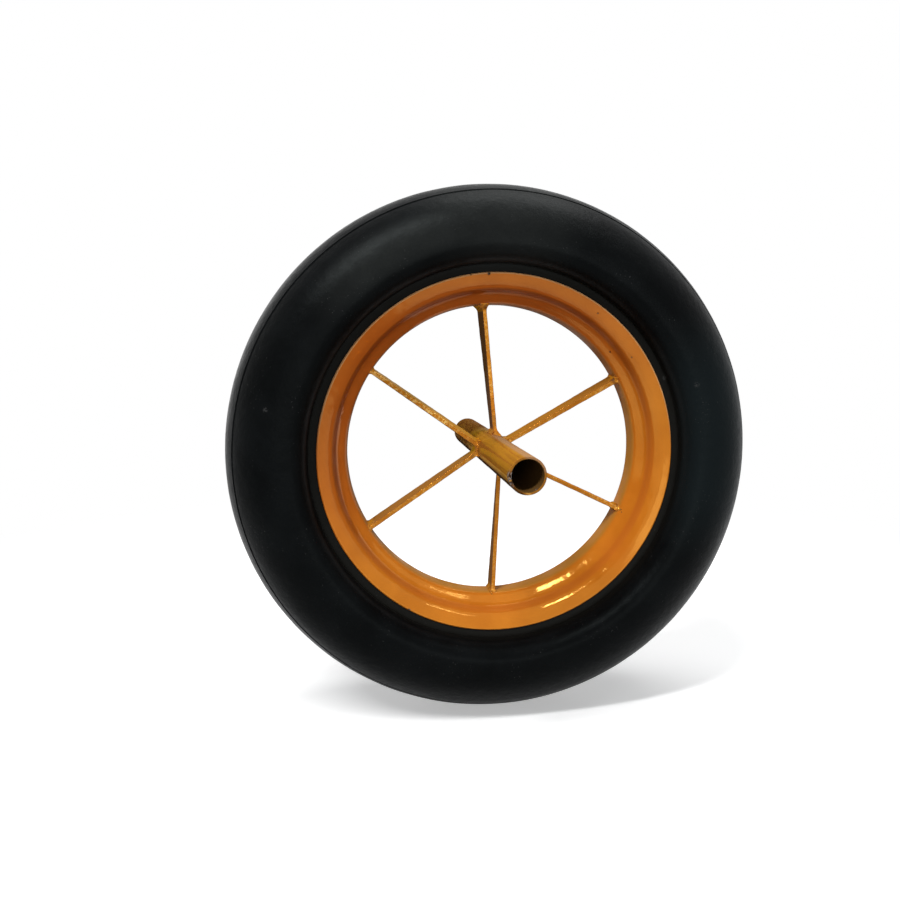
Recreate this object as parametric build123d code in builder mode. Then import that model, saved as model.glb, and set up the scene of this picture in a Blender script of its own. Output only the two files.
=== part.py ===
from build123d import *
import os
from math import asin, cos, radians, sin

os.makedirs("parts", exist_ok=True)

# Barrow wheel. Millimetres, +Z up, the axle along Y, the side with the open view towards -Y.
# The origin is the middle of the axle tube, on its axis and in the middle plane of the rim.

# Rim, rolled from one strip of sheet. Its section is given on the side that faces the axle,
# from the middle of the well outwards.
rim_bore = 194
rim_gauge = 2.0
well_half_width = 5
shoulder_run = 10.5
shoulder_rise = 7.3
ledge_run = 4
ledge_rise = 1
flange_run = 8
flange_rise = 9.7
rim_fold_radius = 5
flange_edge_radius = 0.6

# Tyre, one solid rubber ring. Its section starts at the rim's flange edge.
tyre_width = 88
tyre_fit = 0.2
bead_set_back = 0.9
bead_ring_rise = 6.5
bead_step = 1.6
sidewall_rise = 11.5
tread_rise = 42
shoulder_half_width = 25
shoulder_groove_radius = 1.1

# Axle tube
hub_od = 21.3
hub_wall = 1.6
hub_length = 210
hub_edge_chamfer = 0.3

# Spokes, flat bar on edge, with the weld metal at both ends
spoke_wide = 12
spoke_thick = 3
spoke_edge_radius = 0.4
rim_weld_steepness = 1.8
hub_weld_leg = 0.7
hub_weld_height = 3.5
weld_toe = 0.4
weld_root_depth = 1.5
weld_overlap = 0.5

# One row for each spoke. In degrees: its rim end's place from +X, how much further round its
# hub end lands, and how far the bar leans over at the rim and at the hub. Then the leg of its
# weld at the rim, which was laid thicker on some bars than on others.
spoke_settings = {
    "spoke_1": (94.4, -13.0, 8.3, -3.9, 3.0),
    "spoke_2": (29.0, 0.0, 8.8, -0.5, 1.2),
    "spoke_3": (-25.7, 0.0, -0.6, -3.0, 1.2),
    "spoke_4": (-89.9, 30.4, -1.5, 14.3, 1.5),
    "spoke_5": (-148.9, -23.2, -6.5, 0.3, 0.8),
    "spoke_6": (146.3, 10.8, -4.6, -10.4, 1.5),
}

# Sizes that follow from the ones above
rim_radius = rim_bore / 2
hub_radius = hub_od / 2
flange_half_width = well_half_width + shoulder_run + ledge_run + flange_run
flange_radius = rim_radius + shoulder_rise + ledge_rise + flange_rise
bead_half_width = flange_half_width - bead_set_back
bead_ring_radius = flange_radius + bead_ring_rise
sidewall_start = bead_half_width + bead_step
widest_radius = bead_ring_radius + sidewall_rise
axle_line = Vector(0, 1, 0)

# The section plane: its x runs along the axle and its y out along a radius
section = Plane(origin=(0, 0, 0), x_dir=(0, 1, 0), z_dir=(1, 0, 0))


def rim_line(flange_stretch=1):
    """Corner points of the rim's axle-side surface, from one flange edge to the other."""
    well_edge = (well_half_width, rim_radius)
    ledge_start = (well_edge[0] + shoulder_run, well_edge[1] + shoulder_rise)
    ledge_end = (ledge_start[0] + ledge_run, ledge_start[1] + ledge_rise)
    flange_edge = (ledge_end[0] + flange_run * flange_stretch,
                   ledge_end[1] + flange_rise * flange_stretch)
    half = [well_edge, ledge_start, ledge_end, flange_edge]
    return [(-y, r) for y, r in reversed(half)] + half


# Rim: one strip rolled to a channel, with a narrow well, a ledge for the tyre and two flanges
with BuildPart() as rim:
    with BuildSketch(section) as rim_section:
        with BuildLine() as rim_skin:
            FilletPolyline(*rim_line(), radius=rim_fold_radius)
            offset(amount=rim_gauge, side=Side.LEFT)
        make_face()
        corners = rim_section.vertices().group_by(Axis.Y)
        fillet(corners[-1] + corners[-2], radius=flange_edge_radius)
    revolve(axis=Axis.Y)
rim.part.label = "rim"
export_step(rim.part, "parts/rim.step")

# Tyre: a round section on the rim, with a flat bead ring beside each flange, sidewalls that
# swell out from it, and a groove where each sidewall meets the tread
with BuildPart() as tyre:
    with BuildSketch(section) as tyre_section:
        with BuildLine() as tyre_outline:
            Polyline((0, rim_radius), (bead_half_width, rim_radius),
                     (bead_half_width, bead_ring_radius), (sidewall_start, bead_ring_radius))
            EllipticalCenterArc((sidewall_start, widest_radius),
                                x_radius=tyre_width / 2 - sidewall_start,
                                y_radius=sidewall_rise, start_angle=270, arc_size=90)
            EllipticalCenterArc((0, widest_radius), x_radius=tyre_width / 2,
                                y_radius=tread_rise, start_angle=0, arc_size=90)
            mirror(about=Plane.YZ)
        make_face()
        # What the rim takes up: all that lies inside its outer face, its flanges drawn on
        with BuildLine() as seat_outline:
            skin = FilletPolyline(*rim_line(2), radius=rim_fold_radius, mode=Mode.PRIVATE)
            seat = offset(skin, amount=rim_gauge + tyre_fit, side=Side.LEFT, closed=False)
            Polyline(seat @ 0, ((seat @ 0).X, 0), ((seat @ 1).X, 0), seat @ 1)
        make_face(mode=Mode.SUBTRACT)
        # The groove's middle lies on the tread's curve
        slope = asin(shoulder_half_width / (tyre_width / 2))
        shoulder_radius = widest_radius + tread_rise * cos(slope)
        with Locations((shoulder_half_width, shoulder_radius),
                       (-shoulder_half_width, shoulder_radius)):
            Circle(shoulder_groove_radius, mode=Mode.SUBTRACT)
    revolve(axis=Axis.Y)
tyre.part.label = "tyre"
export_step(tyre.part, "parts/tyre.step")

# Axle tube: plain tube, cut square and open at both ends
with BuildPart() as hub_tube:
    with BuildSketch(Plane.XZ) as hub_section:
        Circle(hub_radius)
        Circle(hub_radius - hub_wall, mode=Mode.SUBTRACT)
    extrude(amount=hub_length / 2, both=True)
    chamfer(hub_tube.faces().filter_by(Axis.Y).edges(), length=hub_edge_chamfer)
hub_tube.part.label = "hub_tube"
export_step(hub_tube.part, "parts/hub_tube.step")

# The room inside the rim, which every spoke ends against
with BuildPart() as rim_room:
    with BuildSketch(section) as room_section:
        with BuildLine() as room_outline:
            skin = FilletPolyline(*rim_line(), radius=rim_fold_radius)
            Polyline(skin @ 0, ((skin @ 0).X, 0), ((skin @ 1).X, 0), skin @ 1)
        make_face()
    revolve(axis=Axis.Y)


def wheel_point(radius, angle):
    """Point in the wheel's middle plane, its angle from +X towards +Z."""
    return Vector(radius * cos(radians(angle)), 0, radius * sin(radians(angle)))


def weld_outline(off_axis, seat_radius, away, leg, height):
    """Section of the weld at one end of a bar: x across the bar, y along it from the axle.
    The bar passes the axle at off_axis, and leaves its seat outwards (away is 1, on the tube)
    or inwards (-1, in the rim). The weld sweeps from the bar's faces down to two toes."""
    buried = []
    tops = []
    with BuildSketch(mode=Mode.PRIVATE) as weld_section:
        with BuildLine():
            for hand in (-1, 1):
                face = hand * spoke_thick / 2
                foot_angle = asin((off_axis + face) / seat_radius)
                foot = seat_radius * cos(foot_angle)
                toe_angle = foot_angle + hand * leg / seat_radius
                toe, root = [
                    (radius * sin(toe_angle) - off_axis, radius * cos(toe_angle))
                    for radius in (seat_radius + away * weld_toe,
                                   seat_radius - away * weld_root_depth)
                ]
                top = (face, foot + away * height)
                Bezier(top, (face, foot + away * weld_toe), toe)
                Line(toe, root)
                buried.append(root)
                tops.append(top)
            Line(*buried)
            Line(*tops)
        make_face()
    return weld_section.sketch


# Spokes: each bar twists evenly from one end to the other, and ends on the tube and the rim
for name, (rim_angle, hub_turn, rim_lean, hub_lean, rim_weld_leg) in spoke_settings.items():
    rim_end = wheel_point(rim_radius, rim_angle)
    along = (rim_end - wheel_point(hub_radius, rim_angle + hub_turn)).normalized()
    side = axle_line.cross(along)
    nearest = rim_end - along * rim_end.dot(along)
    off_axis = nearest.dot(side)
    hub_across, rim_across = [
        side * cos(radians(lean)) + axle_line * sin(radians(lean)) for lean in (hub_lean, rim_lean)
    ]
    with BuildPart() as spoke:
        for origin, across in ((nearest, hub_across), (rim_end + along * rim_gauge, rim_across)):
            with BuildSketch(Plane(origin=origin, x_dir=across, z_dir=along)):
                RectangleRounded(spoke_thick, spoke_wide, radius=spoke_edge_radius)
        loft(ruled=True)
        for across, weld in (
            (hub_across, (hub_radius, 1, hub_weld_leg, hub_weld_height)),
            (rim_across, (rim_radius, -1, rim_weld_leg, rim_weld_leg * rim_weld_steepness)),
        ):
            with BuildSketch(Plane(origin=nearest, x_dir=across, z_dir=across.cross(along))):
                add(weld_outline(off_axis, *weld))
            extrude(amount=spoke_wide / 2 + weld_overlap, both=True)
        with BuildSketch(Plane.XZ):
            Circle(hub_radius)
        extrude(amount=spoke_wide, both=True, mode=Mode.SUBTRACT)
        add(rim_room.part, mode=Mode.INTERSECT)
    spoke.part.label = name
    export_step(spoke.part, f"parts/{name}.step")
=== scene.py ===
import math
import random

import bpy
from mathutils import Matrix, Vector


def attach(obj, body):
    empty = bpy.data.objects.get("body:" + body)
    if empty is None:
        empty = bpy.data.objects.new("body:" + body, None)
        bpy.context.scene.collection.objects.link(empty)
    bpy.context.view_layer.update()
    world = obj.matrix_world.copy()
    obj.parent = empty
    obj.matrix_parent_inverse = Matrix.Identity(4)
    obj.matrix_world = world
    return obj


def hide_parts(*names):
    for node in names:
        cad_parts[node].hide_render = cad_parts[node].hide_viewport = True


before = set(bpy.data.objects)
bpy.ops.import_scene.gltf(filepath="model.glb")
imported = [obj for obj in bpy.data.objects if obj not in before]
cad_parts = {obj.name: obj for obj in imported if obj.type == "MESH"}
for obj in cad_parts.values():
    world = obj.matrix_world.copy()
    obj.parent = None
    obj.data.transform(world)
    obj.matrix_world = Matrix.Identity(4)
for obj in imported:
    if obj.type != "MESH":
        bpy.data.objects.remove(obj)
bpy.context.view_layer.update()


# Rim: one strip of 2 mm steel, rolled to a channel with a narrow well and two flanges, and closed
# to a ring. It is painted with thick gold-orange enamel once the spokes are in, and the paint has
# chipped on the flange's edge. Painted shade darkens its folds, and painted light, highlights and
# reflections change its colour from place to place.

RIM_BORE_RADIUS = 97.0
RIM_GAUGE = 2.0
RIM_EDGE_RADIUS = 0.6
RIM_PITCH = 1.0
RIM_STEPS = 288
# Points closer than this are one, in metres
MERGE_WITHIN = 1e-6
# The side that faces the axle: along the axle in mm, radius in mm, slope in degrees
RIM_SECTION = [
    (0.0, 97.0, 0),
    (4.0, 97.0, 2),
    (6.0, 97.35, 18),
    (8.2, 98.5, 38),
    (10.3, 100.5, 46),
    (12.5, 102.6, 40),
    (14.7, 104.05, 26),
    (17.3, 105.0, 15),
    (19.0, 105.6, 24),
    (21.0, 106.8, 38),
    (23.3, 108.9, 46),
    (25.0, 111.05, 56),
    (27.55, 115.5, 56),
]

# Tones of the enamel, from its darker to its lighter patches, low on the wheel and on its upper
# left. The change between them is painted light and shade: more golden low on the wheel, redder
# and lighter high up
RIM_PAINT_LOW = [(0.60, 0.174, 0.013, 1), (0.68, 0.210, 0.017, 1)]
RIM_PAINT_HIGH = [(0.67, 0.160, 0.020, 1), (0.74, 0.188, 0.024, 1)]
# Painted shade in the ledge's crease and the shoulder's hollow, darker on the upper left
FOLD_LOW, FOLD_HIGH = (0.57, 0.155, 0.016, 1), (0.38, 0.090, 0.014, 1)
# A painted reflection on the matte well and far half of the rim, greyer on the upper left
WELL_LOW, WELL_HIGH = (0.50, 0.215, 0.032, 1), (0.52, 0.240, 0.095, 1)
# Pale on the flange's lip, from worn paint and a painted highlight where the edge faces up
LIP_WEAR_AND_HIGHLIGHT = (0.95, 0.60, 0.28, 1)
BARE_STEEL = (0.16, 0.13, 0.10, 1)
RUST = (0.05, 0.022, 0.012, 1)
# The larger chips: where each is and how far it reaches, in metres
RIM_CHIPS = [
    ((-0.0075, -0.0275, 0.1150), 0.0017),
    ((-0.0190, -0.0275, 0.1145), 0.0013),
    ((-0.0588, -0.0275, -0.0997), 0.0016),
    ((0.0647, -0.0247, 0.0910), 0.0012),
    ((0.0779, -0.0119, 0.0657), 0.0010),
    ((0.0892, -0.0225, 0.0625), 0.0012),
    ((0.0861, 0.0037, 0.0448), 0.0014),
]
# Where a painted dark reflection lies on the flange, low on the right
RIM_DARK_REFLECTION = (0.084, -0.018, -0.069)
UPPER_LEFT = (-0.5, 0, 0.87)


def start_piece(name):
    """A new mesh of one vertex at the wheel's centre, open in edit mode."""
    bpy.ops.object.select_all(action="DESELECT")
    bpy.ops.mesh.primitive_plane_add(size=0.001)
    piece = bpy.context.active_object
    piece.name = name
    bpy.ops.object.mode_set(mode="EDIT")
    bpy.ops.mesh.select_all(action="SELECT")
    bpy.ops.mesh.merge(type="CENTER")
    return piece


def spin_section(name, line, steps, closed):
    """A ring: its section line, as (along the axle, radius) in mm, spun about the axle."""
    piece = start_piece(name)
    places = [Vector((0, along, radius)) / 1000 for along, radius in line]
    bpy.ops.transform.translate(value=places[0])
    for here, there in zip(places, places[1:] + places[:1] * closed):
        bpy.ops.mesh.extrude_vertices_move(TRANSFORM_OT_translate={"value": there - here})
    bpy.ops.mesh.select_all(action="SELECT")
    bpy.ops.mesh.remove_doubles(threshold=MERGE_WITHIN)
    bpy.ops.mesh.spin(steps=steps, angle=2 * math.pi, center=(0, 0, 0), axis=(0, 1, 0))
    bpy.ops.mesh.select_all(action="SELECT")
    bpy.ops.mesh.remove_doubles(threshold=MERGE_WITHIN)
    bpy.ops.mesh.normals_make_consistent(inside=False)
    bpy.ops.object.mode_set(mode="OBJECT")
    return piece


def rolled(section, pitch):
    """Points about pitch apart on a smooth line through a section's places, at its slopes."""
    points = [section[0][:2]]
    for (here, low, low_slope), (there, high, high_slope) in zip(section, section[1:]):
        width = there - here
        low_rise = width * math.tan(math.radians(low_slope))
        high_rise = width * math.tan(math.radians(high_slope))
        steps = max(1, round(math.hypot(width, high - low) / pitch))
        for step in range(1, steps + 1):
            t = step / steps
            radius = (
                (1 + 2 * t) * (1 - t) ** 2 * low
                + t * (1 - t) ** 2 * low_rise
                + t * t * (3 - 2 * t) * high
                + t * t * (t - 1) * high_rise
            )
            points.append((here + t * width, radius))
    return points


def finish_with(piece, kind, **settings):
    """One modifier, set and applied."""
    bpy.ops.object.select_all(action="DESELECT")
    piece.select_set(True)
    bpy.context.view_layer.objects.active = piece
    bpy.ops.object.modifier_add(type=kind)
    modifier = piece.modifiers[-1]
    for name, value in settings.items():
        setattr(modifier, name, value)
    bpy.ops.object.modifier_apply(modifier=modifier.name)


def uneven(piece, size, depth):
    """Lets the surface wander in and out by half of depth, in swells of about that size."""
    swell = bpy.data.textures.new(f"{piece.name}_swell", "CLOUDS")
    swell.noise_scale = size
    finish_with(piece, "DISPLACE", texture=swell, strength=depth, mid_level=0.5)


class Signal:
    """A socket of a material's nodes that can be written in sums like a number. Without a
    socket it only adds nodes to its tree."""

    def __init__(self, tree, socket=None):
        self.tree = tree
        self.socket = socket

    def node(self, kind, settings=None, sockets=None, output=0):
        """Adds any node: its settings first, then what its sockets hold or are linked to."""
        made = self.tree.nodes.new(kind)
        for name, value in (settings or {}).items():
            setattr(made, name, value)
        for name, value in (sockets or {}).items():
            if isinstance(value, Signal):
                self.tree.links.new(value.socket, made.inputs[name])
            else:
                made.inputs[name].default_value = value
        return Signal(self.tree, made.outputs[output]) if made.outputs else None

    def maths(self, operation, *values):
        return self.node("ShaderNodeMath", {"operation": operation}, dict(enumerate(values)))

    def __add__(self, other):
        return self.maths("ADD", self, other)

    __radd__ = __add__

    def __sub__(self, other):
        return self.maths("SUBTRACT", self, other)

    def __rsub__(self, other):
        return self.maths("SUBTRACT", other, self)

    def __mul__(self, other):
        return self.maths("MULTIPLY", self, other)

    __rmul__ = __mul__

    def __or__(self, other):
        """Where either mask holds."""
        return self.maths("MAXIMUM", self, other)

    def step(self, low, high):
        """0 at low and 1 at high, with a smooth ramp between them. Low may be the larger."""
        sockets = {"Value": self, "From Min": low, "From Max": high}
        return self.node("ShaderNodeMapRange", {"interpolation_type": "SMOOTHSTEP"}, sockets)

    def band(self, low, high, soft):
        """1 between low and high, with a ramp that wide on either side."""
        return self.step(low - soft, low) * self.step(high + soft, high)

    def blend(self, low_colour, high_colour):
        """One colour where this is 0 and the other where it is 1."""
        sockets = {0: self, 6: low_colour, 7: high_colour}
        return self.node("ShaderNodeMix", {"data_type": "RGBA"}, sockets, 2)

    def noise(self, scale, detail=2.0, roughness=0.5):
        """Smooth random values at this place, in lumps about 1 / scale metres across."""
        sockets = {"Vector": self, "Scale": scale, "Detail": detail, "Roughness": roughness}
        return self.node("ShaderNodeTexNoise", {}, sockets)

    def axis(self, index):
        return self.node("ShaderNodeSeparateXYZ", {}, {"Vector": self}, index)

    def scaled(self, factors):
        operation = {"operation": "MULTIPLY"}
        return self.node("ShaderNodeVectorMath", operation, {0: self, 1: factors})

    def length(self):
        return self.node("ShaderNodeVectorMath", {"operation": "LENGTH"}, {0: self}, "Value")

    def along(self, direction):
        """How far this place is in one direction from the middle of the wheel."""
        operation = {"operation": "DOT_PRODUCT"}
        return self.node("ShaderNodeVectorMath", operation, {0: self, 1: direction}, "Value")

    def off_axle(self):
        """How far this place is from the axle's line."""
        return self.scaled((1, 0, 1)).length()

    def near(self, spot, reach):
        """1 at a spot on the wheel, fading to 0 at that reach."""
        operation = {"operation": "DISTANCE"}
        distance = self.node("ShaderNodeVectorMath", operation, {0: self, 1: spot}, "Value")
        return distance.step(reach, reach * 0.35)

    def bump(self, height, below=None):
        """A normal tilted by this relief, that many metres high, on top of another one."""
        sockets = {"Height": self, "Distance": height}
        if below:
            sockets["Normal"] = below
        return self.node("ShaderNodeBump", {}, sockets)


def new_finish(name, piece):
    """An empty material on a piece, and the place on the wheel as a signal."""
    material = bpy.data.materials.new(name)
    material.use_nodes = True
    tree = material.node_tree
    tree.nodes.clear()
    piece.data.materials.clear()
    piece.data.materials.append(material)
    return Signal(tree).node("ShaderNodeTexCoord", output="Object")


def enamel(place, paint, dull, dirt_and_painted_light, chipped, bare, mirror, powder, relief):
    """Gold enamel over steel, patchy between the two colours of paint. dull is where it is matte:
    where it is thick, where it is dirty and where light and shade are painted on it, and
    dirt_and_painted_light its colour there. chipped is where it has come off and bare what shows
    there, mirror the index of its varnish, powder its share of metal and relief how high it sags,
    in metres."""
    tone = place.noise(45.0, 3.0).step(0.3, 0.7)
    peel = place.noise(900.0, 2.0).bump(0.00002)
    sag = place.noise(70.0, 2.0).bump(relief, peel)
    clean = place.node("ShaderNodeBsdfPrincipled", {}, {
        "Base Color": tone.blend(*paint),
        "Metallic": powder,
        "Roughness": 0.045 + 0.065 * place.noise(150.0, 3.0),
        "IOR": mirror,
        "Specular Tint": (1.0, 0.85, 0.25, 1),
        "Normal": sag,
    })
    steel = place.noise(700.0, 2.0).step(0.4, 0.6).blend(bare, RUST)
    matte = place.node("ShaderNodeBsdfPrincipled", {}, {
        "Base Color": chipped.blend(dirt_and_painted_light, steel),
        "Roughness": 0.45 + 0.2 * place.noise(250.0, 3.0),
        "IOR": 1.0,
        "Normal": (1 - chipped).bump(0.0002, sag),
    })
    surface = place.node("ShaderNodeMixShader", {}, {0: dull | chipped, 1: clean, 2: matte})
    place.node("ShaderNodeOutputMaterial", {}, {"Surface": surface})


rim_half_line = rolled(RIM_SECTION, RIM_PITCH)
rim_line = [(-along, radius) for along, radius in reversed(rim_half_line[1:])] + rim_half_line
rim = spin_section("rim_strip", rim_line, RIM_STEPS, closed=False)
finish_with(rim, "SOLIDIFY", thickness=RIM_GAUGE / 1000, offset=1.0, use_even_offset=True)
finish_with(rim, "BEVEL", width=RIM_EDGE_RADIUS / 1000, segments=3,
            limit_method="ANGLE", angle_limit=1.0)
uneven(rim, size=0.03, depth=0.0003)
bpy.ops.object.shade_smooth()

place = new_finish("rim_enamel", rim)
radius = place.off_axle()
# Painted light and shade change the enamel's colours towards the upper left
upper = place.along(UPPER_LEFT).step(-0.04, 0.07)
# The enamel is matte in the ledge's crease and in the hollow of the shoulder at the top, where
# painted shade darkens it on the upper left. It is matte in the well and on the far half, where
# its colour is a painted reflection, on a painted dark reflection low on the right, and on the
# flange's lip, where it is pale with wear and a painted highlight
crease = radius.band(0.1046, 0.1060, 0.0013)
well = radius.step(0.0986, 0.0972) | place.axis(1).step(0.003, 0.010)
patchy = 0.7 + 0.4 * place.noise(60.0, 3.0)
dark_reflection = 0.45 * place.near(RIM_DARK_REFLECTION, 0.016)
lip = 0.7 * radius.step(0.1149, 0.1153) * place.axis(2).step(-0.02, 0.04)
shoulder_shade = 0.55 * radius.band(0.0995, 0.1046, 0.0020)
shoulder_shade = shoulder_shade * place.axis(2).step(0.02, 0.08) * place.axis(0).step(0.08, 0.03)
# The matte colour: painted shade in the folds, and a painted reflection in the well and on the
# far half
dirt_and_painted_light = well.blend(upper.blend(FOLD_LOW, FOLD_HIGH), upper.blend(WELL_LOW, WELL_HIGH))
# The flange's edge is worn in flecks
chips = radius.step(0.1152, 0.1157) * place.noise(330.0, 4.0, 0.6).step(0.70, 0.74)
for spot, reach in RIM_CHIPS:
    chips = chips | place.near(spot, reach)
enamel(
    place,
    paint=[upper.blend(low, high) for low, high in zip(RIM_PAINT_LOW, RIM_PAINT_HIGH)],
    dull=(crease | well) * patchy | dark_reflection | lip | shoulder_shade,
    dirt_and_painted_light=lip.blend(dirt_and_painted_light, LIP_WEAR_AND_HIGHLIGHT),
    chipped=chips,
    bare=BARE_STEEL,
    mirror=1.44,
    powder=0.05,
    relief=0.0003,
)
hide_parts("rim")
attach(rim, "root")


# Axle tube: plain drawn steel tube, 21.3 mm across with a 1.6 mm wall, sawn square and open at
# both ends, and painted with the rest. It is bare and scuffed round the front mouth, and its far
# half is matte and darker, with old dirt and painted shade. Painted shade, a painted highlight
# and a painted sheen run along it.

TUBE_RADIUS = 10.65
TUBE_BORE_RADIUS = 9.05
TUBE_HALF = 104.93
TUBE_CHAMFER = 0.3
TUBE_PITCH = 2.5
TUBE_STEPS = 96

TUBE_PAINT = [(0.40, 0.158, 0.019, 1), (0.48, 0.195, 0.023, 1)]
# A painted highlight line along the tube
TUBE_PAINT_HIGHLIGHT = [(0.68, 0.33, 0.06, 1), (0.76, 0.39, 0.08, 1)]
# Weathering, and painted shade with old dirt on the far half
TUBE_DIRT_AND_SHADE = (0.215, 0.069, 0.015, 1)
BORE_DIRT = (0.12, 0.062, 0.018, 1)
# Painted shade on the tube's underside
UNDERSIDE_SHADE = (0.070, 0.026, 0.008, 1)
# A painted pale sheen on the tube's top
TUBE_TOP_SHEEN = (0.42, 0.24, 0.13, 1)
SCUFFED_STEEL = (0.46, 0.43, 0.40, 1)
MOUTH_SCUFF = (-0.0100, -0.1042, -0.0015)
UPPER_RIGHT = (0.60, 0, 0.80)


def run(start, end, pitch):
    """Points about pitch apart along a straight stretch, without its start."""
    steps = max(1, round((end - start).length / pitch))
    return [start.lerp(end, step / steps) for step in range(1, steps + 1)]


tube_corners = [Vector(corner) for corner in (
    (-TUBE_HALF + TUBE_CHAMFER, TUBE_RADIUS),
    (TUBE_HALF - TUBE_CHAMFER, TUBE_RADIUS),
    (TUBE_HALF, TUBE_RADIUS - TUBE_CHAMFER),
    (TUBE_HALF, TUBE_BORE_RADIUS + TUBE_CHAMFER),
    (TUBE_HALF - TUBE_CHAMFER, TUBE_BORE_RADIUS),
    (-TUBE_HALF + TUBE_CHAMFER, TUBE_BORE_RADIUS),
    (-TUBE_HALF, TUBE_BORE_RADIUS + TUBE_CHAMFER),
    (-TUBE_HALF, TUBE_RADIUS - TUBE_CHAMFER),
)]
tube_line = tube_corners[:1]
for corner in tube_corners[1:]:
    tube_line += run(tube_line[-1], corner, TUBE_PITCH)
tube = spin_section("axle_tube", tube_line, TUBE_STEPS, closed=True)
uneven(tube, size=0.012, depth=0.0002)
bpy.ops.object.shade_smooth_by_angle(angle=math.radians(40))

place = new_finish("tube_enamel", tube)
# The far half is matte and darker, with old dirt and painted shade
far_dirt_and_shade = place.axis(1).step(0.02, 0.045)
far_dirt_and_shade = far_dirt_and_shade * (0.55 + 0.45 * place.noise(500.0, 3.0).step(0.4, 0.6))
inside = place.off_axle().step(0.0096, 0.0092)
mouth = place.axis(1).step(-0.1025, -0.1045)
wear = place.noise(350.0, 3.0)
streaks = place.scaled((1, 0.05, 1)).noise(420.0, 3.0).step(0.45, 0.7)
# Along the tube run painted shade on the underside, a painted highlight line beside it, and a
# pale painted sheen on the top
rise = place.along(UPPER_RIGHT)
underside_shade = rise.step(-0.0086, -0.0093)
highlight_line = rise.band(-0.0080, -0.0072, 0.0006)
top_sheen = rise.band(0.0078, 0.0099, 0.0018) * place.axis(1).step(0.01, -0.02)
dirt_and_painted_light = inside.blend(TUBE_DIRT_AND_SHADE, BORE_DIRT)
dirt_and_painted_light = (underside_shade * (1 - inside)).blend(dirt_and_painted_light, UNDERSIDE_SHADE)
enamel(
    place,
    paint=[highlight_line.blend(*tones) for tones in zip(TUBE_PAINT, TUBE_PAINT_HIGHLIGHT)],
    dull=far_dirt_and_shade | inside | (0.15 + 0.35 * streaks) | 0.9 * underside_shade | 0.7 * top_sheen,
    dirt_and_painted_light=(top_sheen * (1 - inside)).blend(dirt_and_painted_light, TUBE_TOP_SHEEN),
    chipped=place.near(MOUTH_SCUFF, 0.0065) * wear.step(0.4, 0.5) | mouth * wear.step(0.66, 0.70),
    bare=SCUFFED_STEEL,
    mirror=1.0,
    powder=0.12,
    relief=0.0005,
)
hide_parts("hub_tube")
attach(tube, "root")


# Spokes: six flat steel bars, 12 by 3 mm, set on edge by eye between the tube and the rim, each a
# little twisted. They are stick welded by hand at both ends, so that each weld is a flare with
# beads in it, and some welds trail drops up the rim's near shoulder.

# One row for each bar. In degrees: its rim end's angle, how much further round its hub end lands,
# and its lean at the rim and at the hub. In mm: the legs of its welds at the rim and at the hub.
# Then the number of drops, and how dark painted shade makes its left flank.
SPOKES = {
    "spoke_1": (94.4, -13.0, 8.3, -3.9, 2.2, 2.2, 0, 0.9),
    "spoke_2": (29.0, 0.0, 8.8, -0.5, 1.0, 1.9, 2, 0.3),
    "spoke_3": (-25.7, 0.0, -0.6, -3.0, 0.9, 1.2, 5, 0.3),
    "spoke_4": (-89.9, 30.4, -1.5, 14.3, 0.9, 1.2, 3, 0.8),
    "spoke_5": (-148.9, -23.2, -6.5, 0.3, 0.8, 1.2, 0, 0.5),
    "spoke_6": (146.3, 10.8, -4.6, -10.4, 0.9, 1.5, 1, 1.0),
}
BAR_WIDE = 12.0
BAR_THICK = 3.0
BAR_EDGE_RADIUS = 0.4
# The far end stops short of the outer face of the rim's sheet
SHEET_LEFT = 0.8
# A weld's height over its leg, how far it laps over the bar's edges for what it adds to a face,
# and where its rows of beads lie on its height
WELD_STEEPNESS = 1.9
EDGE_LAP = 0.6
BEAD_ROWS = (0.06, 0.25, 0.5)
WELD_STEPS = 8
SHAFT_STEPS = 44
TRAIL_START = 6.2
TRAIL_PITCH = 0.75
# The size of mesh that melts a bar and its beads into one
MELT_SIZE = 0.36

BAR_PAINT = (0.48, 0.165, 0.015, 1)
BAR_PAINT_LIGHT = (0.56, 0.205, 0.019, 1)
# Painted light on the front edges: a lighter tone, and glints in it
BAR_PAINT_FRONT = (0.60, 0.23, 0.020, 1)
BAR_GLEAM = (1.0, 0.66, 0.20, 1)
WELD_DIRT = (0.22, 0.07, 0.014, 1)
# Painted shade on the bars' left flanks
FLANK_SHADE = (0.110, 0.066, 0.050, 1)
# Where the painted glints are strongest
GLEAM_SPOT = (-0.046, -0.006, 0.031)


def flare(above, leg):
    """How far a weld stands out from the bar's face at this height above its seat."""
    return leg * (1 - min(1, max(0, above) / (WELD_STEEPNESS * leg))) ** 2


def seat_height(seat_radius, beside):
    """How far up the bar a round seat lies, in a line that passes that far beside the axle."""
    return math.sqrt(seat_radius ** 2 - beside ** 2)


def spaced(start, end, steps):
    """Numbers evenly on from start, up to end."""
    return [start + (end - start) * step / steps for step in range(1, steps + 1)]


def add_drop(spot, size):
    """A drop of weld metal at this place on the bar, its radius being size."""
    place = Vector(spot) / 1000
    bpy.ops.mesh.primitive_ico_sphere_add(subdivisions=2, radius=size / 1000, location=place)


def bead(dice, seat_radius, off_axis, away, leg):
    """Drops of weld metal in rows along a weld's flare, where a bar that passes the axle at
    off_axis lands on a round seat. away is 1 if the bar rises from there, and -1 if it ends."""
    drop = 0.16 * leg + 0.28
    last = BAR_WIDE / 2 + 0.3 * leg
    for share in BEAD_ROWS:
        above = share * WELD_STEEPNESS * leg
        out = BAR_THICK / 2 + flare(above, leg)
        for hand in (-1, 1):
            across = -last
            while across <= last:
                x = hand * (out - 0.6 * drop + dice.uniform(-0.15, 0.1))
                z = seat_height(seat_radius, off_axis + x) + away * above
                add_drop((x, across, z), drop * dice.uniform(0.8, 1.25))
                across += drop * dice.uniform(1.2, 2.0)


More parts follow.
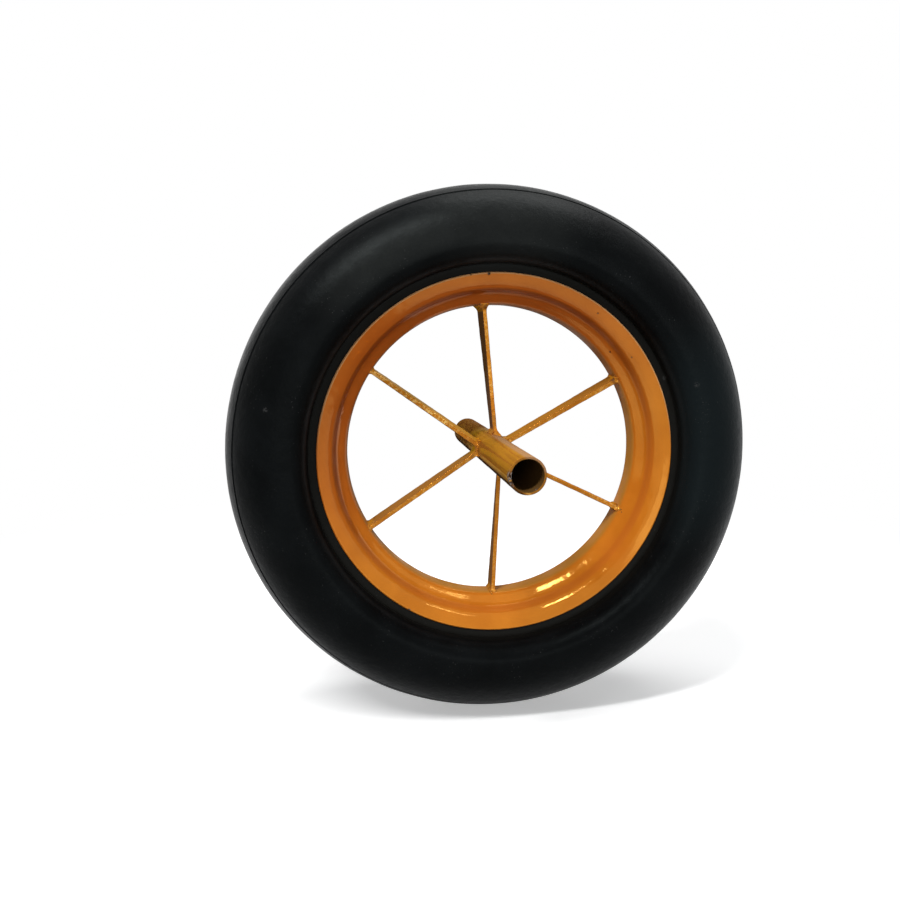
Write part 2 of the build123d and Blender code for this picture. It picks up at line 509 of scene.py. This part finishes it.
for name, row in SPOKES.items():
    rim_angle, hub_turn, rim_lean, hub_lean, rim_leg, hub_leg, trail, flank_shade_depth = row
    at_rim = math.radians(rim_angle)
    at_hub = math.radians(rim_angle + hub_turn)
    rim_end = Vector((math.cos(at_rim), 0, math.sin(at_rim))) * RIM_BORE_RADIUS
    hub_end = Vector((math.cos(at_hub), 0, math.sin(at_hub))) * TUBE_RADIUS
    up = (rim_end - hub_end).normalized()
    axle = Vector((0, 1, 0))
    side = axle.cross(up)
    nearest = rim_end - up * rim_end.dot(up)
    off_axis = nearest.dot(side)
    reach = (rim_end - nearest).length + RIM_GAUGE

    # The bar's outline is set at heights from the axle, close together in the welds. Each is a
    # height, a lean, and how thick and wide the bar is there.
    foot = seat_height(TUBE_RADIUS, off_axis)
    head = seat_height(RIM_BORE_RADIUS, off_axis)
    weld_top = foot + WELD_STEEPNESS * hub_leg
    weld_start = head - WELD_STEEPNESS * rim_leg
    heights = [seat_height(TUBE_BORE_RADIUS, abs(off_axis) - BAR_THICK / 2), foot]
    heights += spaced(foot, weld_top, WELD_STEPS) + spaced(weld_top, weld_start, SHAFT_STEPS)
    heights += spaced(weld_start, head, WELD_STEPS) + [reach - SHEET_LEFT]
    outlines = []
    for height in heights:
        out = flare(height - foot, hub_leg) + flare(head - height, rim_leg)
        lean = hub_lean + (rim_lean - hub_lean) * height / reach
        thick, wide = BAR_THICK + 2 * out, BAR_WIDE + 2 * EDGE_LAP * out
        outlines.append((height, math.radians(lean), thick, wide))

    bpy.ops.object.select_all(action="DESELECT")
    bpy.ops.mesh.primitive_plane_add(size=1.0)
    bar = bpy.context.active_object
    bar.name = f"{name}_bar"
    bpy.ops.object.mode_set(mode="EDIT")
    bpy.ops.mesh.select_all(action="SELECT")
    height, lean, thick, wide = outlines[0]
    bpy.ops.transform.resize(value=(thick / 1000, wide / 1000, 1))
    bpy.ops.mesh.bevel(offset=BAR_EDGE_RADIUS / 1000, segments=2, affect="VERTICES")
    bpy.ops.transform.translate(value=(0, 0, height / 1000))
    # With no window, the rotate operator turns the other way, so each lean is given negative
    bpy.ops.transform.rotate(value=-lean, orient_axis="Z", center_override=(0, 0, 0))
    for below, (height, lean, thick, wide) in zip(outlines, outlines[1:]):
        grown = (thick / below[2], wide / below[3], 1)
        bpy.ops.mesh.extrude_region_move()
        bpy.ops.transform.translate(value=(0, 0, (height - below[0]) / 1000))
        bpy.ops.transform.rotate(value=below[1], orient_axis="Z", center_override=(0, 0, 0))
        bpy.ops.transform.resize(value=grown, center_override=(0, 0, 0))
        bpy.ops.transform.rotate(value=-lean, orient_axis="Z", center_override=(0, 0, 0))
    bpy.ops.mesh.select_all(action="SELECT")
    bpy.ops.mesh.normals_make_consistent(inside=False)
    bpy.ops.object.mode_set(mode="OBJECT")
    uneven(bar, size=0.006, depth=0.0003)
    bpy.ops.object.mode_set(mode="EDIT")
    dice = random.Random(name)
    bead(dice, TUBE_RADIUS, off_axis, 1, hub_leg)
    bead(dice, RIM_BORE_RADIUS, off_axis, -1, rim_leg)
    for drop in range(trail):
        y = -TRAIL_START - TRAIL_PITCH * drop
        shoulder = next(radius for along, radius in rim_half_line if along >= -y)
        x = dice.uniform(-1.2, 1.2)
        z = seat_height(RIM_BORE_RADIUS, off_axis + x) + (shoulder - RIM_BORE_RADIUS)
        add_drop((x, y, z), dice.uniform(0.7, 1.0))
    bpy.ops.object.mode_set(mode="OBJECT")
    bar.data.remesh_voxel_size = MELT_SIZE / 1000
    bpy.ops.object.voxel_remesh()
    finish_with(bar, "SMOOTH", factor=0.5, iterations=3)
    turned = Matrix((side, axle, up)).transposed().to_4x4()
    bar.matrix_world = Matrix.Translation(nearest / 1000) @ turned
    bpy.ops.object.transform_apply(location=True, rotation=True, scale=True)
    bpy.ops.object.shade_smooth()

    place = new_finish(f"{name}_enamel", bar)
    radius = place.off_axle()
    welds = radius.step(0.0170, 0.0125) | radius.step(0.0920, 0.0945)
    grimy = place.noise(300.0, 3.0).step(0.52, 0.62)
    # Painted shade darkens the left flank, which is told apart by how far a place is from the
    # bar's middle, across its thickness as it leans
    lean = (place.along(up) * (1000 / reach) * (rim_lean - hub_lean) + hub_lean) * math.radians(1)
    across = place.along(side) - off_axis / 1000 + place.axis(1) * lean
    leftwards = 1 if side.x < 0 else -1
    left_flank_shade = (leftwards * across).step(0.0009, 0.0014)
    # The front edge is painted lighter, with painted glints in flecks, most of all on the upper
    # left
    front = place.axis(1).step(-0.0050, -0.0058) * (1 - left_flank_shade)
    gleam = place.noise(600.0, 2.0).step(0.46, 0.60)
    gleam = gleam * (0.35 + 0.65 * place.near(GLEAM_SPOT, 0.055))
    light = front.blend(BAR_PAINT_LIGHT, gleam.blend(BAR_PAINT_FRONT, BAR_GLEAM))
    enamel(
        place,
        paint=[BAR_PAINT, light],
        dull=0.7 * welds * grimy | flank_shade_depth * left_flank_shade * (1 - 0.7 * welds),
        dirt_and_painted_light=left_flank_shade.blend(WELD_DIRT, FLANK_SHADE),
        chipped=place.noise(420.0, 2.0).step(0.74, 0.78),
        bare=BARE_STEEL,
        mirror=1.0,
        powder=0.18,
        relief=0.0003,
    )
    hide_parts(name)
    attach(bar, "root")


# Tyre: solid black rubber, moulded in one piece and stretched over the rim, with a flat bead ring
# beside each flange and a groove where each sidewall meets the tread.

TYRE_HALF = 43.85
TYRE_RADIUS = 174.85
WIDEST_RADIUS = 133.0
BEAD_HALF = 26.6
BEAD_RADIUS = 121.5
SIDEWALL_START = 28.2
GROOVE_AT = 25.0
GROOVE_RADIUS = 1.1
GROOVE_MARGIN = 0.2
# The face that sits on the rim, and the bead ring's flank beside it
TYRE_SEAT = [
    (4.3, 99.3),
    (15.0, 106.7),
    (18.6, 107.6),
    (BEAD_HALF, 117.4),
    (BEAD_HALF, BEAD_RADIUS),
]
BEAD_STEP_PITCH = 0.6
SIDEWALL_STEPS = 16
TREAD_STEPS = 40
GROOVE_STEPS = 8
TYRE_STEPS = 320

RUBBER, RUBBER_BLOOM = (0.0014, 0.0016, 0.0018, 1), (0.0036, 0.0042, 0.0046, 1)
# Painted cool light on the right of the tyre
RUBBER_SHEEN = (0.0085, 0.0125, 0.0140, 1)
BEAD_RUBBER = (0.0075, 0.0068, 0.0056, 1)
# Dust and a painted highlight on the upper left and at the top
TYRE_DUST_AND_HIGHLIGHT = (0.017, 0.0185, 0.018, 1)
SCUFFED_RUBBER = (0.05, 0.05, 0.05, 1)
# The larger scuffs: where each is and how far it reaches, in metres
TYRE_SCUFFS = [
    ((-0.1451, -0.0408, 0.0319), 0.0022),
    ((0.1099, -0.0266, 0.0488), 0.0020),
    ((0.1245, -0.0439, 0.0450), 0.0024),
]


def on_tread(turn):
    """A place on the tread's curve, from its widest at 0 to its crown at a quarter turn."""
    tread_rise = TYRE_RADIUS - WIDEST_RADIUS
    return Vector((TYRE_HALF * math.cos(turn), WIDEST_RADIUS + tread_rise * math.sin(turn)))


tyre_half_line = [Vector(place) for place in TYRE_SEAT]
bead_corner = Vector((SIDEWALL_START, BEAD_RADIUS))
tyre_half_line += run(tyre_half_line[-1], bead_corner, BEAD_STEP_PITCH)
for step in range(1, SIDEWALL_STEPS + 1):
    turn = math.radians(90 * step / SIDEWALL_STEPS)
    tyre_half_line.append(Vector((
        SIDEWALL_START + (TYRE_HALF - SIDEWALL_START) * math.sin(turn),
        WIDEST_RADIUS - (WIDEST_RADIUS - BEAD_RADIUS) * math.cos(turn),
    )))
# The groove is half round, with its middle on the tread's curve
groove_turn = math.acos(GROOVE_AT / TYRE_HALF)
groove = on_tread(groove_turn)
down_slope = Vector((
    TYRE_HALF * math.sin(groove_turn),
    -(TYRE_RADIUS - WIDEST_RADIUS) * math.cos(groove_turn),
)).normalized()
inwards = Vector((down_slope.y, -down_slope.x))
groove_line = [
    groove + GROOVE_RADIUS * (down_slope * math.cos(bend) + inwards * math.sin(bend))
    for bend in (math.pi * step / GROOVE_STEPS for step in range(GROOVE_STEPS + 1))
]
tread = [on_tread(math.radians(90 * step / TREAD_STEPS)) for step in range(1, TREAD_STEPS + 1)]
tread = [place for place in tread if (place - groove).length >= GROOVE_RADIUS + GROOVE_MARGIN]
tyre_half_line += [place for place in tread if place.x > GROOVE_AT] + groove_line
tyre_half_line += [place for place in tread if place.x < GROOVE_AT]
tyre_line = tyre_half_line + [(-along, radius) for along, radius in reversed(tyre_half_line[:-1])]
tyre = spin_section("tyre_rubber", tyre_line, TYRE_STEPS, closed=True)
uneven(tyre, size=0.018, depth=0.0002)
bpy.ops.object.shade_smooth_by_angle(angle=math.radians(50))

place = new_finish("moulded_rubber", tyre)
radius = place.off_axle()
bloom = place.noise(26.0, 4.0, 0.6).step(0.35, 0.7)
black = bloom.blend(RUBBER, RUBBER_BLOOM)
# The rubber is bluer on the right, a painted cool light, and browner on the bead ring, and dust
# with a painted highlight lies on the upper left and at the top
black = (0.8 * place.near((0.145, -0.040, 0.010), 0.090)).blend(black, RUBBER_SHEEN)
black = radius.step(0.1220, 0.1213).blend(black, BEAD_RUBBER)
dust_and_highlight_places = radius.band(0.140, 0.150, 0.012) * place.near((-0.062, -0.040, 0.130), 0.075)
dust_and_highlight_places = dust_and_highlight_places | 0.8 * place.near((0.0, -0.030, 0.160), 0.065)
dust_and_highlight = dust_and_highlight_places * (0.35 + 0.5 * place.noise(90.0, 3.0) + 0.35 * place.noise(700.0, 3.0))
black = dust_and_highlight.blend(black, TYRE_DUST_AND_HIGHLIGHT)
scuffs = place.noise(900.0, 3.0).step(0.66, 0.72) * place.noise(50.0, 2.0).step(0.5, 0.62)
rubbed = place.noise(1200.0, 2.0).step(0.4, 0.55)
for spot, reach in TYRE_SCUFFS:
    scuffs = scuffs | place.near(spot, reach) * rubbed
grain = place.noise(1400.0, 3.0)
surface = place.node("ShaderNodeBsdfPrincipled", {}, {
    "Base Color": (scuffs * 0.6).blend(black, SCUFFED_RUBBER),
    "Roughness": 0.26 + 0.18 * place.noise(230.0, 4.0, 0.6),
    "IOR": 1.11,
    "Specular Tint": (0.88, 1.0, 1.0, 1),
    "Normal": grain.bump(0.00006, place.noise(160.0, 4.0, 0.6).bump(0.0004)),
})
place.node("ShaderNodeOutputMaterial", {}, {"Surface": surface})
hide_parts("tyre")
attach(tyre, "root")


# Studio: a pale floor that the wheel stands on, an even white room, and soft panels of light
# above, in front and behind. To the eye and in reflections, floor and room are plain white.

FLOOR_LEVEL = -0.175
FLOOR_SIZE = 60.0
FLOOR_GREY = (0.15, 0.15, 0.15, 1)
ROOM_GREY = (0.16, 0.165, 0.17, 1)
NO_LIGHT = (0, 0, 0, 1)
WHITE = (1, 1, 1, 1)
# One row for each panel: where it hangs as seen from the wheel, how far off, the way that its
# long side runs, its sides in metres and its power in watts
PANELS = {
    "key_panel": ((-0.39, -0.43, 0.815), 1.8, (0.90, 0.10, 0.42), (1.0, 0.14), 23.0),
    "right_panel": ((0.50, -0.30, 0.81), 1.8, (0.9, 0.1, -0.3), (0.5, 0.1), 1.5),
    "ceiling_panel": ((0.25, 0.10, 1.0), 1.8, (1, 0, 0), (1.2, 0.8), 14.0),
    "front_panel": ((0.02, -0.99, 0.05), 2.2, (1, 0, 0), (3.0, 1.3), 27.0),
    "back_panel": ((-0.10, 0.98, 0.20), 2.2, (1, 0, 0), (3.0, 1.3), 9.0),
}
# The camera stands where the outlines of rim, tyre and tube look as they do in the photograph
CAMERA_PLACE = (-0.0953, -0.4963, 0.0712)
CAMERA_FACING = (0.1329, 0.9867, -0.0933)

bpy.ops.object.select_all(action="DESELECT")
bpy.ops.mesh.primitive_plane_add(size=FLOOR_SIZE, location=(0, 0, FLOOR_LEVEL))
floor = bpy.context.active_object
floor.name = "floor"
place = new_finish("pale_floor", floor)


def white_to_the_eye(signal, other):
    """White where the camera or a reflection looks, and another colour for the soft light."""
    camera, glossy, through = [
        signal.node("ShaderNodeLightPath", output=f"Is {kind} Ray")
        for kind in ("Camera", "Glossy", "Transmission")
    ]
    return (camera | glossy | through).blend(other, WHITE)


# The floor takes a soft shadow round the wheel and is evenly lit further off
floor_grey = white_to_the_eye(place, FLOOR_GREY)
lift = white_to_the_eye(place, NO_LIGHT)
shaded = place.node("ShaderNodeAddShader", {}, {
    0: place.node("ShaderNodeBsdfDiffuse", {}, {"Color": floor_grey}),
    1: place.node("ShaderNodeEmission", {}, {"Color": lift, "Strength": 0.35}),
})
even = place.node("ShaderNodeEmission", {}, {"Color": floor_grey})
far_off = place.length().step(0.35, 0.75)
surface = place.node("ShaderNodeMixShader", {}, {0: far_off, 1: shaded, 2: even})
place.node("ShaderNodeOutputMaterial", {}, {"Surface": surface})

world = bpy.data.worlds.new("white_room")
bpy.context.scene.world = world
world.use_nodes = True
world.node_tree.nodes.clear()
air = Signal(world.node_tree)
room = air.node("ShaderNodeBackground", {}, {"Color": white_to_the_eye(air, ROOM_GREY)})
air.node("ShaderNodeOutputWorld", {}, {"Surface": room})

for name, (towards, distance, long_way, sides, power) in PANELS.items():
    lamp = bpy.data.lights.new(name, "AREA")
    lamp.shape = "RECTANGLE"
    lamp.size, lamp.size_y = sides
    lamp.energy = power
    back = Vector(towards).normalized()
    high = back.cross(Vector(long_way)).normalized()
    turned = Matrix((high.cross(back), high, back)).transposed().to_4x4()
    panel = bpy.data.objects.new(name, lamp)
    bpy.context.scene.collection.objects.link(panel)
    panel.matrix_world = Matrix.Translation(back * distance) @ turned

camera = bpy.data.objects.new("camera", bpy.data.cameras.new("camera"))
bpy.context.scene.collection.objects.link(camera)
camera.location = CAMERA_PLACE
camera.rotation_euler = Vector(CAMERA_FACING).to_track_quat("-Z", "Y").to_euler()
camera.data.lens = 30.0
camera.data.sensor_width = 36.0
camera.data.shift_y = -0.04
camera.data.clip_start = 0.02
bpy.context.scene.camera = camera
bpy.context.scene.view_settings.view_transform = "Standard"
